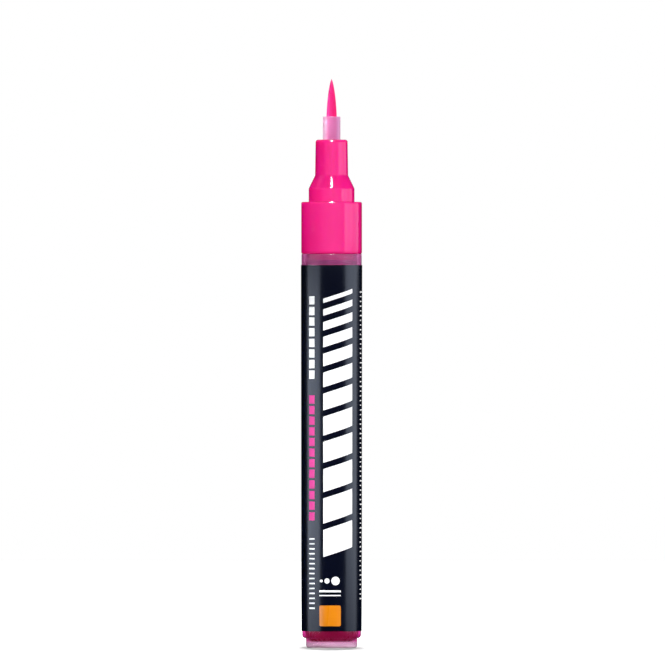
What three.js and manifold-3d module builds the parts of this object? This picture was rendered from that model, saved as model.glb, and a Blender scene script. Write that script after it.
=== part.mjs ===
// Refillable pump paint marker with a brush nib, standing on its tail.
// Millimetres, +Z along the axis from the tail to the brush, origin at the centre of the tail's foot.

import * as THREE from 'three';
import { mergeVertices } from 'three/addons/utils/BufferGeometryUtils.js';
import Module from 'manifold-3d';

const wasm = await Module();
wasm.setup();

// Barrel
const stubRadius = 5.45;
const stubHeight = 2.0;
const stubCorner = 0.6;
const footRecessRadius = 3.8;
const footRecessDepth = 0.5;
const floorThickness = 0.8;
const floorFillet = 1.6;
const endBandRadius = 6.25;
const endBandHeight = 1.5;
const endBandCorner = 0.65;
const bodyRadiusBottom = 6.295;
const bodyRadiusTop = 6.38;
const barrelWall = 1.22;
const mouthBandHeight = 2.4;
const mouthWall = 0.95;
const mouthEdge = 0.15;

// Label
const labelLength = 77.6;
const labelThickness = 0.1;
const labelGap = 0.02;
const labelSeam = 0.4;

// Screw joint between barrel and front section
const threadDepth = 0.4;
const threadClearance = 0.1;
const threadLength = 6.5;
const threadRelief = 0.12;

// Front section
const collarRadius = 6.435;
const collarHeight = 11.0;
const collarEdge = 0.35;
const noseRadius = 4.85;
const noseHeight = 2.85;
const coneHeight = 2.75;
const neckRadiusBottom = 3.5;
const neckRadiusTop = 3.385;
const neckHeight = 7.6;
const neckEdge = 0.5;
const neckMouthChamfer = 0.25;
const spigotLength = 9.0;
const spigotWall = 0.8;
const chamberRadius = 3.0;
const chamberShoulder = 3.0;
const ribCount = 6;
const ribWidth = 0.5;
const ribHeight = 0.18;

// Seal ring in the barrel's mouth
const sealCord = 0.95;
const sealGap = 0.04;
const sealGrooveSide = 0.1;
const sealDrop = 1.3;

// Valve
const pressGap = 0.05;
const housingWall = 0.9;
const housingLength = 15.2;
const housingFlange = 1.0;
const housingEndGap = 0.3;
const webThickness = 1.2;
const snapHeight = 1.0;
const snapDepth = 0.15;
const skirtLength = 3.0;
const skirtWall = 0.6;
const seatThickness = 1.2;
const seatLap = 0.85;
const stemArm = 0.9;
const stemClearance = 0.12;
const stemLength = 13.8;
const buttonThickness = 0.8;
const headThickness = 1.0;
const pinChamfer = 0.15;
const pinFloorGap = 2.5;
const pumpStroke = 2.5;
const headSideGap = 0.41;
const cageWall = 0.95;
const cageFloor = 1.0;
const cageDepth = 11.8;
const cageDrain = 1.0;
const windowWidth = 2.4;
const windowTop = 1.4;
const windowBottom = 1.6;

// Valve spring
const wireRadius = 0.2;
const springSideGap = 0.68;
const pinSideGap = 0.7;
const springTurns = 7;
const springCrowd = 0.3;
const springGap = 0.06;

// Nib
const holderRadius = 1.85;
const holderWall = 0.7;
const holderLength = 14.0;
const holderShows = 4.9;
const holderChamfer = 0.15;
const fibreGap = 0.05;
const brushLength = 8.0;
const brushTailLength = 11.6;
const brushSwell = 1.5;
const brushPoint = 0.65;
const hairCount = 300;
const hairRadius = 0.045;
const hairInset = 0.01;
const hairRoot = 0.1;
// Shares of the brush's free length: the hairs' two bends, and how much shorter the outer ones are
const lowerBend = 0.45;
const upperBend = 0.8;
const outerShort = 0.14;
const holderSlide = 0.06;

// Mixing ball
const ballRadius = 3.0;
const ballGap = 0.1;

// Facets
const outerFacets = 56;
const innerFacets = 36;
const cornerSteps = 2;
const cordSteps = 4;
const ballFacets = 20;
const hairSides = 3;
const wireSides = 5;
const springStepsPerTurn = 8;
const gapPointsPerTurn = 24;
const weldDistance = 1e-4;

// Heights, from the foot up
const bodyBottom = stubHeight + endBandHeight;
const bodyTop = bodyBottom + labelLength;
const mouthTop = bodyTop + mouthBandHeight;
const collarTop = mouthTop + collarHeight;
const noseTop = collarTop + noseHeight;
const coneTop = noseTop + coneHeight;
const chamberTop = noseTop + coneHeight / 2;
const neckTop = coneTop + neckHeight;
const reservoirFloor = footRecessDepth + floorThickness;
const spigotBottom = mouthTop - spigotLength;
const snapBottom = spigotBottom + spigotLength / 2;
const holderTop = neckTop + holderShows;
const holderBottom = holderTop - holderLength;
const brushTop = holderTop + brushLength;

// Radii shared by pieces that fit in each other
const boreRadiusBottom = bodyRadiusBottom - barrelWall;
const boreRadiusTop = bodyRadiusTop - barrelWall;
const threadBore = boreRadiusTop + threadRelief;
const mouthBore = bodyRadiusTop - mouthWall;
const spigotRadius = threadBore - threadClearance - threadDepth;
const sealGrooveRadius = mouthBore - sealCord - 2 * sealGap;
const sectionBore = spigotRadius - spigotWall;
const housingRadius = sectionBore - pressGap;
const neckBore = holderRadius + holderSlide + ribHeight;
const holderBore = holderRadius - holderWall;
const fibreRadius = holderBore - fibreGap;

// Heights inside the valve
const housingTop = spigotBottom + housingLength;
const flangeBottom = spigotBottom - housingFlange;
const skirtBottom = flangeBottom - skirtLength;
const seatTop = flangeBottom;
const seatBottom = seatTop - seatThickness;
const headBottom = seatBottom - headThickness;
const stemTop = seatBottom + stemLength;
const cageBottom = seatBottom - cageDepth;
const cageFloorTop = cageBottom + cageFloor;
const pinBottom = cageFloorTop + pumpStroke + pinFloorGap;

// Radii inside the valve
const skirtBore = housingRadius - skirtWall;
const seatRadius = skirtBore - pressGap;
const cageBore = housingRadius - cageWall;
const headRadius = cageBore - headSideGap;
const seatBore = headRadius - seatLap;
const stemRadius = seatBore - stemClearance;
const springRadius = cageBore - springSideGap - wireRadius;
const tailPinRadius = springRadius - wireRadius - pinSideGap;

const fullTurn = 2 * Math.PI;
const quarter = fullTurn / 4;

// A profile's x is the radius and its y the height. It runs up the outside and down the inside.

function arc(path, radius, height, bend, from, to) {
  path.absarc(radius, height, bend, from * quarter, to * quarter, to < from);
}

function revolve(path, facets, steps = cornerSteps) {
  const points = [];
  for (const point of path.getPoints(steps)) {
    const last = points[points.length - 1];
    if (!last || last.distanceTo(point) > weldDistance) {
      points.push(point);
    }
  }
  const geometry = new THREE.LatheGeometry(points, facets);
  geometry.rotateX(quarter);
  return weld(geometry);
}

// One vertex at each corner, and no triangle without area
function weld(geometry) {
  const bare = geometry.clone();
  bare.deleteAttribute('normal');
  bare.deleteAttribute('uv');
  const merged = mergeVertices(bare, weldDistance);
  const corners = merged.index.array;
  const kept = [];
  for (let i = 0; i < corners.length; i += 3) {
    const [a, b, c] = [corners[i], corners[i + 1], corners[i + 2]];
    if (a !== b && b !== c && c !== a) {
      kept.push(a, b, c);
    }
  }
  merged.setIndex(kept);
  return merged;
}

function toSolid(geometry) {
  const merged = weld(geometry);
  return new wasm.Manifold(new wasm.Mesh({
    numProp: 3,
    vertProperties: new Float32Array(merged.attributes.position.array),
    triVerts: new Uint32Array(merged.index.array),
  }));
}

function toGeometry(solid) {
  const mesh = solid.getMesh();
  const geometry = new THREE.BufferGeometry();
  geometry.setAttribute('position', new THREE.BufferAttribute(mesh.vertProperties, mesh.numProp));
  geometry.setIndex(new THREE.BufferAttribute(mesh.triVerts, 1));
  return geometry;
}

function finish(color, roughness, metalness, opacity = 1) {
  return new THREE.MeshStandardMaterial({
    color, roughness, metalness, opacity, transparent: opacity < 1,
  });
}

const clearPlastic = finish(0xd9a0c2, 0.3, 0, 0.55);
const blackFilm = finish(0x050a18, 0.22, 0);
const pinkPlastic = finish(0xf53c91, 0.3, 0);
const sealRubber = finish(0x6b3a55, 0.7, 0);
const whitePlastic = finish(0xeeeae6, 0.45, 0);
const seatRubber = finish(0x3c3a3c, 0.75, 0);
const steelWire = finish(0xb9bbbd, 0.3, 1);
const ballSteel = finish(0xc9cacc, 0.16, 1);
const holderPlastic = finish(0xe6a9cd, 0.35, 0, 0.7);
const brushFibre = finish(0xf52889, 0.5, 0);
const rodFibre = finish(0xf4b6d2, 0.85, 0);

const marker = new THREE.Group();

function addPiece(name, geometry, material) {
  const shaded = geometry.toNonIndexed();
  shaded.computeVertexNormals();
  const mesh = new THREE.Mesh(shaded, material);
  mesh.name = name;
  marker.add(mesh);
  return mesh;
}

// Barrel: a closed tank with a recessed foot, moulded round one tapering core
function barrelGeometry() {
  const path = new THREE.Path();
  path.moveTo(0, footRecessDepth);
  path.lineTo(footRecessRadius - footRecessDepth, footRecessDepth);
  path.lineTo(footRecessRadius, 0);
  arc(path, stubRadius - stubCorner, stubCorner, stubCorner, -1, 0);
  path.lineTo(stubRadius, stubHeight);
  arc(path, endBandRadius - endBandCorner, stubHeight + endBandCorner, endBandCorner, -1, 0);
  path.lineTo(endBandRadius, bodyBottom);
  path.lineTo(bodyRadiusBottom, bodyBottom);
  path.lineTo(bodyRadiusTop, bodyTop);
  path.lineTo(bodyRadiusTop, mouthTop - mouthEdge);
  path.lineTo(bodyRadiusTop - mouthEdge, mouthTop);
  path.lineTo(mouthBore + mouthEdge, mouthTop);
  path.lineTo(mouthBore, mouthTop - mouthEdge);
  path.lineTo(mouthBore, bodyTop);
  path.lineTo(threadBore, bodyTop);
  path.lineTo(threadBore, bodyTop - threadLength);
  path.lineTo(boreRadiusTop, bodyTop - threadLength);
  path.lineTo(boreRadiusBottom, reservoirFloor + floorFillet);
  arc(path, boreRadiusBottom - floorFillet, reservoirFloor + floorFillet, floorFillet, 0, -1);
  path.lineTo(0, reservoirFloor);
  return revolve(path, outerFacets);
}

// Label: a film round the barrel, its two ends meeting at the back
function labelGeometry() {
  const inBottom = bodyRadiusBottom + labelGap;
  const inTop = bodyRadiusTop + labelGap;
  const path = new THREE.Path();
  path.moveTo(inBottom, bodyBottom);
  path.lineTo(inBottom + labelThickness, bodyBottom);
  path.lineTo(inTop + labelThickness, bodyTop);
  path.lineTo(inTop, bodyTop);
  path.lineTo(inBottom, bodyBottom);
  const seam = new THREE.BoxGeometry(labelSeam, bodyRadiusTop, 2 * bodyTop);
  seam.translate(0, bodyRadiusTop, 0);
  return toGeometry(toSolid(revolve(path, outerFacets)).subtract(toSolid(seam)));
}

// Front section: one moulding from the spigot in the barrel to the neck round the nib,
// with ribs in the neck that hold the nib and let air past it
function sectionGeometry() {
  const grooveTop = mouthTop - sealDrop + sealGrooveSide;
  const grooveBottom = mouthTop - sealDrop - sealCord - sealGrooveSide;
  const ledge = housingTop + housingEndGap;
  const path = new THREE.Path();
  path.moveTo(sectionBore, spigotBottom);
  path.lineTo(spigotRadius, spigotBottom);
  path.lineTo(spigotRadius, grooveBottom);
  path.lineTo(sealGrooveRadius, grooveBottom);
  path.lineTo(sealGrooveRadius, grooveTop);
  path.lineTo(spigotRadius, grooveTop);
  path.lineTo(spigotRadius, mouthTop);
  path.lineTo(collarRadius - mouthEdge, mouthTop);
  path.lineTo(collarRadius, mouthTop + mouthEdge);
  arc(path, collarRadius - collarEdge, collarTop - collarEdge, collarEdge, 0, 1);
  path.lineTo(noseRadius, collarTop);
  path.lineTo(noseRadius, noseTop);
  path.lineTo(neckRadiusBottom, coneTop);
  arc(path, neckRadiusTop - neckEdge, neckTop - neckEdge, neckEdge, 0, 1);
  path.lineTo(neckBore + neckMouthChamfer, neckTop);
  path.lineTo(neckBore, neckTop - neckMouthChamfer);
  path.lineTo(neckBore, chamberTop);
  path.lineTo(chamberRadius, chamberTop - chamberShoulder);
  path.lineTo(chamberRadius, ledge);
  path.lineTo(sectionBore, ledge);
  path.lineTo(sectionBore, snapBottom + snapHeight);
  path.lineTo(sectionBore + snapDepth, snapBottom + snapHeight / 2);
  path.lineTo(sectionBore, snapBottom);
  path.lineTo(sectionBore, spigotBottom);
  let solid = toSolid(revolve(path, outerFacets));

  const ribBottom = chamberTop + ribHeight;
  const ribTop = neckTop - 2 * neckMouthChamfer;
  for (let i = 0; i < ribCount; i += 1) {
    const rib = new THREE.BoxGeometry(2 * ribHeight, ribWidth, ribTop - ribBottom);
    rib.translate(neckBore, 0, (ribTop + ribBottom) / 2);
    rib.rotateZ((i / ribCount) * fullTurn);
    solid = solid.add(toSolid(rib));
  }
  return toGeometry(solid);
}

// Seal: a round cord ring in the spigot's groove
function sealGeometry() {
  const cord = sealCord / 2;
  const path = new THREE.Path();
  path.absarc(mouthBore - sealGap - cord, mouthTop - sealDrop - cord, cord, 0, fullTurn, false);
  return revolve(path, outerFacets, cordSteps);
}

// Housing: a tube with a web above the seat, a flange under the spigot and a skirt for the cage
function housingGeometry() {
  const bore = housingRadius - housingWall;
  const path = new THREE.Path();
  path.moveTo(skirtBore, skirtBottom);
  path.lineTo(housingRadius, skirtBottom);
  path.lineTo(housingRadius, flangeBottom);
  path.lineTo(spigotRadius, flangeBottom);
  path.lineTo(spigotRadius, spigotBottom);
  path.lineTo(housingRadius, spigotBottom);
  path.lineTo(housingRadius, snapBottom);
  path.lineTo(housingRadius + snapDepth, snapBottom + snapHeight / 2);
  path.lineTo(housingRadius, snapBottom + snapHeight);
  path.lineTo(housingRadius, housingTop);
  path.lineTo(bore, housingTop);
  path.lineTo(bore, flangeBottom + webThickness);
  path.lineTo(seatBore, flangeBottom + webThickness);
  path.lineTo(seatBore, flangeBottom);
  path.lineTo(skirtBore, flangeBottom);
  path.lineTo(skirtBore, skirtBottom);
  return revolve(path, innerFacets);
}

// Seat: a flat soft ring under the web
function seatGeometry() {
  const path = new THREE.Path();
  path.moveTo(seatBore, seatBottom);
  path.lineTo(seatRadius, seatBottom);
  path.lineTo(seatRadius, seatTop);
  path.lineTo(seatBore, seatTop);
  path.lineTo(seatBore, seatBottom);
  return revolve(path, innerFacets);
}

// Plunger: a head under the seat, a pin inside the spring, and a fluted stem with a button on top
function plungerGeometry() {
  const path = new THREE.Path();
  path.moveTo(0, pinBottom);
  path.lineTo(tailPinRadius - pinChamfer, pinBottom);
  path.lineTo(tailPinRadius, pinBottom + pinChamfer);
  path.lineTo(tailPinRadius, headBottom);
  path.lineTo(headRadius, headBottom);
  path.lineTo(headRadius, seatBottom);
  path.lineTo(0, seatBottom);
  const button = new THREE.CylinderGeometry(stemRadius, stemRadius, buttonThickness, innerFacets);
  button.rotateX(quarter);
  button.translate(0, 0, stemTop - buttonThickness / 2);

  const flutes = stemLength - buttonThickness / 2 + headThickness / 2;
  const armX = new THREE.BoxGeometry(2 * stemRadius, stemArm, flutes);
  const armY = new THREE.BoxGeometry(stemArm, 2 * stemRadius, flutes);
  const stemMiddle = seatBottom - headThickness / 2 + flutes / 2;
  armX.translate(0, 0, stemMiddle);
  armY.translate(0, 0, stemMiddle);
  const round = new THREE.CylinderGeometry(stemRadius, stemRadius, 2 * flutes, innerFacets);
  round.rotateX(quarter);
  round.translate(0, 0, stemMiddle);
  const stem = toSolid(armX).add(toSolid(armY)).intersect(toSolid(round));
  return toGeometry(toSolid(revolve(path, innerFacets)).add(stem).add(toSolid(button)));
}

// Spring: one round wire whose turns crowd at both ends
class SpringCurve extends THREE.Curve {
  getPoint(t, target = new THREE.Vector3()) {
    const low = cageFloorTop + springGap + wireRadius;
    const high = headBottom - springGap - wireRadius;
    const angle = fullTurn * springTurns * t;
    const rise = t - (springCrowd * Math.sin(fullTurn * t)) / fullTurn;
    return target.set(
      springRadius * Math.cos(angle),
      springRadius * Math.sin(angle),
      low + rise * (high - low),
    );
  }
}

function springGeometry(curve) {
  const section = new THREE.Shape();
  for (let i = 0; i < wireSides; i += 1) {
    const angle = (i / wireSides) * fullTurn;
    const place = [wireRadius * Math.cos(angle), wireRadius * Math.sin(angle)];
    if (i === 0) {
      section.moveTo(...place);
    } else {
      section.lineTo(...place);
    }
  }
  return weld(new THREE.ExtrudeGeometry(section, {
    steps: springTurns * springStepsPerTurn,
    bevelEnabled: false,
    extrudePath: curve,
  }));
}

// Least distance between the surfaces of two turns, taken over points along the wire
function leastTurnGap(curve) {
  const count = springTurns * gapPointsPerTurn;
  const points = curve.getPoints(count);
  let least = Infinity;
  for (let i = 0; i < count; i += 1) {
    for (let j = i + gapPointsPerTurn / 2; j <= count; j += 1) {
      least = Math.min(least, points[i].distanceTo(points[j]) - 2 * wireRadius);
    }
  }
  return least;
}

// Cage: a cup round the spring, with four tall windows and a drain in its floor
function cageGeometry() {
  const path = new THREE.Path();
  path.moveTo(cageDrain, cageBottom);
  path.lineTo(housingRadius, cageBottom);
  path.lineTo(housingRadius, skirtBottom);
  path.lineTo(seatRadius, skirtBottom);
  path.lineTo(seatRadius, seatBottom);
  path.lineTo(cageBore, seatBottom);
  path.lineTo(cageBore, cageFloorTop);
  path.lineTo(cageDrain, cageFloorTop);
  path.lineTo(cageDrain, cageBottom);
  let solid = toSolid(revolve(path, innerFacets));

  const low = cageFloorTop + windowBottom;
  const high = skirtBottom - windowTop;
  const half = windowWidth / 2;
  const outline = new THREE.Shape();
  outline.moveTo(half, low + half);
  outline.lineTo(half, high - half);
  outline.absarc(0, high - half, half, 0, 2 * quarter, false);
  outline.lineTo(-half, low + half);
  outline.absarc(0, low + half, half, 2 * quarter, fullTurn, false);
  const across = 4 * housingRadius;
  for (let turn = 0; turn < 2; turn += 1) {
    const slot = new THREE.ExtrudeGeometry(outline, {
      depth: across, bevelEnabled: false, curveSegments: 2 * cornerSteps,
    });
    slot.translate(0, 0, -across / 2);
    slot.rotateX(quarter);
    slot.rotateZ(turn * quarter);
    solid = solid.subtract(toSolid(slot));
  }
  return toGeometry(solid);
}

// Holder: a thin sleeve with chamfered ends
function holderGeometry() {
  const path = new THREE.Path();
  path.moveTo(holderBore, holderBottom);
  path.lineTo(holderRadius - holderChamfer, holderBottom);
  path.lineTo(holderRadius, holderBottom + holderChamfer);
  path.lineTo(holderRadius, holderTop - holderChamfer);
  path.lineTo(holderRadius - holderChamfer, holderTop);
  path.lineTo(holderBore + holderChamfer, holderTop);
  path.lineTo(holderBore, holderTop - holderChamfer);
  path.lineTo(holderBore, holderBottom);
  return revolve(path, innerFacets);
}

// Share of the bundle's radius that is left at the share t of the free length
function bundleShare(t) {
  return (1 - t ** brushSwell) ** brushPoint;
}

// Brush: a glued tail in the holder, and hairs that leave it side by side and draw in to a point.
// The hairs spiral out from the middle one by a fixed angle, so that each has as much room.
function brushGeometry() {
  const tail = holderTop - brushTailLength;
  const path = new THREE.Path();
  path.moveTo(0, tail);
  path.lineTo(fibreRadius, tail);
  path.lineTo(fibreRadius, holderTop);
  path.lineTo(0, holderTop);

  const bundle = fibreRadius - hairRadius - hairInset;
  const turn = Math.PI * (3 - Math.sqrt(5));
  const places = [];
  const faces = [];
  for (let i = 0; i < hairCount; i += 1) {
    const outward = Math.sqrt(i / hairCount);
    const tip = 1 - outerShort * outward;
    const middle = new THREE.Vector2(bundle * outward, 0).rotateAround(new THREE.Vector2(), i * turn);
    const first = places.length / 3;
    for (const t of [-hairRoot / brushLength, lowerBend, upperBend]) {
      const share = bundleShare(Math.max(t, 0));
      for (let side = 0; side < hairSides; side += 1) {
        const angle = i * turn + (side / hairSides) * fullTurn;
        const x = share * (middle.x + hairRadius * Math.cos(angle));
        const y = share * (middle.y + hairRadius * Math.sin(angle));
        places.push(x, y, holderTop + t * brushLength);
      }
    }
    places.push(bundleShare(tip) * middle.x, bundleShare(tip) * middle.y, holderTop + tip * brushLength);
    const apex = first + 3 * hairSides;
    for (let side = 0; side < hairSides; side += 1) {
      const next = (side + 1) % hairSides;
      for (let ring = first; ring < apex - hairSides; ring += hairSides) {
        faces.push(ring + side, ring + next, ring + hairSides + next);
        faces.push(ring + side, ring + hairSides + next, ring + hairSides + side);
      }
      faces.push(apex - hairSides + side, apex - hairSides + next, apex);
    }
    for (let side = 1; side < hairSides - 1; side += 1) {
      faces.push(first, first + side + 1, first + side);
    }
  }
  const hairs = new THREE.BufferGeometry();
  hairs.setAttribute('position', new THREE.Float32BufferAttribute(places, 3));
  hairs.setIndex(faces);
  return toGeometry(toSolid(revolve(path, innerFacets)).add(toSolid(hairs)));
}

// Feed rod: a porous rod from the plunger's button to the tail of the brush
function rodGeometry() {
  const top = holderTop - brushTailLength;
  const path = new THREE.Path();
  path.moveTo(0, stemTop);
  path.lineTo(fibreRadius - holderChamfer, stemTop);
  path.lineTo(fibreRadius, stemTop + holderChamfer);
  path.lineTo(fibreRadius, top - holderChamfer);
  path.lineTo(fibreRadius - holderChamfer, top);
  path.lineTo(0, top);
  return revolve(path, innerFacets);
}

// Mixing ball: loose in the tank, on its floor
function ballGeometry() {
  const ball = new THREE.SphereGeometry(ballRadius, ballFacets, ballFacets / 2);
  ball.rotateX(quarter);
  ball.translate(0, 0, reservoirFloor + ballGap + ballRadius);
  return weld(ball);
}

addPiece('barrel', barrelGeometry(), clearPlastic);
addPiece('barrel_label', labelGeometry(), blackFilm);
addPiece('mixing_ball', ballGeometry(), ballSteel);
addPiece('section_seal', sealGeometry(), sealRubber);
addPiece('front_section', sectionGeometry(), pinkPlastic);
addPiece('valve_housing', housingGeometry(), whitePlastic);
addPiece('valve_seat', seatGeometry(), seatRubber);
addPiece('valve_cage', cageGeometry(), whitePlastic);
const springCurve = new SpringCurve();
addPiece('valve_spring', springGeometry(springCurve), steelWire);
addPiece('valve_plunger', plungerGeometry(), whitePlastic);
addPiece('nib_holder', holderGeometry(), holderPlastic);
addPiece('brush_nib', brushGeometry(), brushFibre);
addPiece('feed_rod', rodGeometry(), rodFibre);

console.log(`least gap between spring turns: ${leastTurnGap(springCurve).toFixed(2)} mm`);

export default marker;
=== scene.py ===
# Refillable pump paint marker with a brush nib, standing on its tail in a white studio.
# The marker's lengths are in millimetres, and turned into metres where a mesh is made.

import math
import random

import bmesh
import bpy
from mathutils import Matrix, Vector


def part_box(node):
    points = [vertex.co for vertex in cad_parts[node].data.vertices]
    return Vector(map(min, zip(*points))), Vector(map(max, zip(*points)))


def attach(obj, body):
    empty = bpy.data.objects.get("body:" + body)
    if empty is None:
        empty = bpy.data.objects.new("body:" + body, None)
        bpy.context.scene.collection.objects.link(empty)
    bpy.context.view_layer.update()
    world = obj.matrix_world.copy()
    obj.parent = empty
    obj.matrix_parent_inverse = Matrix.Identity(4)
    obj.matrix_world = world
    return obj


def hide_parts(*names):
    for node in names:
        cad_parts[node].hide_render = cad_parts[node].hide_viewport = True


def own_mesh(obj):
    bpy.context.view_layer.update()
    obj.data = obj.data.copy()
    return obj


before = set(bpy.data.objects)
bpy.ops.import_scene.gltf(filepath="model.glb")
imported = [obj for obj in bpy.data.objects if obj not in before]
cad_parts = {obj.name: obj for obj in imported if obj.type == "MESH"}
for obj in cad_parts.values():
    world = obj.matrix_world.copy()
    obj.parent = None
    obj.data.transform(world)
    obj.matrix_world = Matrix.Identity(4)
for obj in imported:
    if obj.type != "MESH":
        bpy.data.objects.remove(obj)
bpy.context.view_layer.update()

MM = 0.001
TURN = 2 * math.pi

# Sides of the turned pieces
ROUND = 160
SLEEVE_ROUND = 96
SMALL_ROUND = 64
CORE_ROUND = 48

# Steps of a bend, from the tiniest to the widest corners
TINY_STEPS = 3
EDGE_STEPS = 4
BEND_STEPS = 6
WIDE_STEPS = 8

# A radius below the first lies on the axis, and a path that rises by more than the second is upright
ON_AXIS = 1e-6
UPRIGHT = 0.9

# Edges that turn by more than these degrees are shaded sharp
SHARP = 32
HAIR_SHARP = 80


# The lowest and the highest height of a node, and its reach to the right


def low(node):
    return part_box(node)[0].z / MM


def high(node):
    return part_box(node)[1].z / MM


def reach(node):
    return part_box(node)[1].x / MM


# Heights and radii taken from the frame
BODY_BOTTOM = low("barrel_label")
BODY_TOP = high("barrel_label")
MOUTH_TOP = high("barrel")
SPIGOT_BOTTOM = low("front_section")
NECK_TOP = high("front_section")
COLLAR_RADIUS = reach("front_section")
SLEEVE_BOTTOM = low("nib_holder")
SLEEVE_TOP = high("nib_holder")
SLEEVE_RADIUS = reach("nib_holder")
TAIL_END = low("brush_nib")
BRUSH_TOP = high("brush_nib")
ROD_BOTTOM = low("feed_rod")
BALL_LOW = low("mixing_ball")
BALL_HIGH = high("mixing_ball")
SPRING_LOW = low("valve_spring")
SPRING_HIGH = high("valve_spring")
SEAL_LOW = low("section_seal")
SEAL_HIGH = high("section_seal")

# Barrel
STUB_RADIUS = 5.45
STUB_HEIGHT = 2.0
STUB_CORNER = 0.6
STUB_FILLET = 0.1
RECESS_RADIUS = 3.8
RECESS_DEPTH = 0.5
RECESS_EDGE = 0.12
RECESS_TURN = -150
GATE_RADIUS = 0.6
GATE_TIP = 0.48
GATE_HEIGHT = 0.2
FLOOR_TOP = 1.3
FLOOR_FILLET = 1.6
BAND_RADIUS = 6.25
BAND_CORNER = 0.65
BODY_RADIUS_LOW = 6.295
BODY_RADIUS_HIGH = 6.38
WALL = 1.22
MOUTH_BORE = 5.43
MOUTH_EDGE = 0.15
THREAD_BORE = 5.28
THREAD_ZONE = 6.5

# Paint film on the tank's wall
FILM_SINK = 0.03
FILM_WALL = 0.2
FILM_TOP_GAP = 0.5

# Label
LABEL_GAP = 0.02
LABEL_WALL = 0.1
SEAM_ANGLE = math.radians(8)
SEAM_RAMP = math.radians(4)
SEAM_LIFT = 0.012
LABEL_STEPS = 240

# Print on the label: s runs round it from the front, and heights are from the foot
BLOCK_COUNT = 12
BLOCK_FIRST = 0.9
BLOCK_GROWTH = 0.44
BLOCK_GAP = 1.35
BLOCK_SLOPE = 0.32
BLOCKS_TOP = 75.0
BLOCKS_LEFT = -1.8
BLOCKS_RIGHT = 4.8
DOTS = ((-2.25, 0.3), (-1.0, 0.55), (0.85, 0.9))
DOTS_LEVEL = 14.2
LINES = ((12.0, 0.2), (11.1, 0.12))
PATCH_LEFT = -2.7
PATCH_RIGHT = 2.0
PATCH_BOTTOM = 4.6
PATCH_TOP = 9.0
PATCH_CORNER = 0.35
ROW_LEFT = -5.35
ROW_RIGHT = -3.85
ROW_PITCH = 2.25
ROW_BAR = 1.75
WHITE_ROW = (57.0, 75.0)
PINK_ROW = (27.0, 54.0)
RUNG_ROW = (8.25, 24.0)
RUNG_PITCH = 1.05
RUNG_BAR = 0.3
SCALE_LEFT = 7.7
SCALE_SHORT = 8.7
SCALE_LONG = 9.4
SCALE_BOTTOM = 10.4
SCALE_TOP = 75.4
TICK_SHORT = 0.24
TICK_LONG = 0.3

# What ink, and pink ink on top, add to the film's roughness, and the shares in the film's bump
INK_ROUGH = 0.05
PINK_ROUGH = 0.25
INK_BUMP = 0.3
WAVE_BUMP = 0.7

# Front section
COLLAR_HEIGHT = 11.0
COLLAR_EDGE = 0.35
COLLAR_FOOT = 0.3
NOSE_RADIUS = 4.85
NOSE_HEIGHT = 2.85
NOSE_FILLET = 0.1
CONE_EDGE = 0.11
CONE_HEIGHT = 2.75
NECK_RADIUS_LOW = 3.5
NECK_RADIUS_HIGH = 3.385
NECK_EDGE = 0.5
NECK_BORE = 2.09
MOUTH_CHAMFER = 0.25
SPIGOT_RADIUS = 4.78
SPIGOT_BORE = 3.98
CHAMBER_RADIUS = 3.0
CHAMBER_LEDGE = 90.0
CHAMBER_SHOULDER = 3.0
GROOVE_RADIUS = 4.4
GROOVE_SIDE = 0.1
RIBS = 6
RIB_WIDTH = 0.5
RIB_HEIGHT = 0.18

# Screw thread
PITCH = 1.5
THREAD_HEIGHT = 0.34
THREAD_ROOT = 0.62
THREAD_CREST = 0.3
THREAD_SINK = 0.05
THREAD_RUN_OUT = 1 / 6
THREAD_LEAST = 0.02
THREAD_STEPS = 72
BARREL_THREAD_START = 0.4
BARREL_THREAD_TURNS = 3.4
SECTION_THREAD_START = 0.8
SECTION_THREAD_TURNS = 3.5

# Nib
SLEEVE_WALL = 0.7
SLEEVE_CHAMFER = 0.15
FIBRE_RADIUS = 1.1
BRUSH_SWELL = 1.5
BRUSH_POINT = 0.65
HAIRS = 420
HAIR_RADIUS = 0.042
HAIR_TIP = 0.28
HAIR_TAPER = 2.5
HAIR_STEPS = 16
HAIR_CROWD = 1.35
HAIR_SIDES = 5
HAIR_ROOT = 3.0
HAIR_SHORT = 0.22
HAIR_SWAY = 0.02
HAIR_WAVE = 6
HAIR_PHASE = 3
HAIR_SEED = 11
INNERMOST = 0.35
CORE_SHARE = 0.9
CORE_END = 0.97
CORE_STEPS = 28
CORE_CROWD = 1.6
ROD_EDGE = 0.15

# Valve spring
WIRE_RADIUS = 0.2
WIRE_SIDES = 12
COIL_RADIUS = 2.1
COIL_TURNS = 7
COIL_STEPS = 36
COIL_CROWD = 0.3

# Seal ring and mixing ball
SEAL_STEPS = 20
BALL_RADIUS = (BALL_HIGH - BALL_LOW) / 2
BALL_STEPS = 32

# Where the colours change: each pair is the start and the end of a change, in heights for the
# tank and the front section, and in distances to the right of the axis for sleeve and brush.
# The foot's edge, the collar's shade and the sides of sleeve and brush place painted light and shade.
FOOT_EDGE_PAINTED_LIGHT = (0.1, 0.7)
TANK_STAIN = (0.9, 1.6)
MOUTH_HAZE = (BODY_TOP - 2, BODY_TOP - 1)
COLLAR_SHADE = (MOUTH_TOP + 0.1, MOUTH_TOP + 0.7)
SLEEVE_LEFT = (-1.5, -0.6)
SLEEVE_RIGHT = (1.2, 1.7)
BRUSH_LEFT = (-0.6, -0.1)
BRUSH_RIGHT = (0.2, 0.7)
BRUSH_STRAY = 0.4

# The noise values between which patches of paint grow
TANK_PATCHES = (0.4, 0.62)
SLEEVE_PATCHES = (0.35, 0.65)
DRIED_PAINT = (0.5, 0.68)

# The share of light that passes the plastics, and how much less passes the hazy mouth and the foot's edge.
# The foot's edge and the sleeve's clearer sides are painted light.
FOOT_CLEAR = 0.7
TANK_CLEAR = 0.96
SLEEVE_WET = 0.62
SLEEVE_LIT_SIDES = 0.9
MOUTH_CLOUD = 0.26
PAINTED_LIGHT_CLOUD = 0.45

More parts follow.
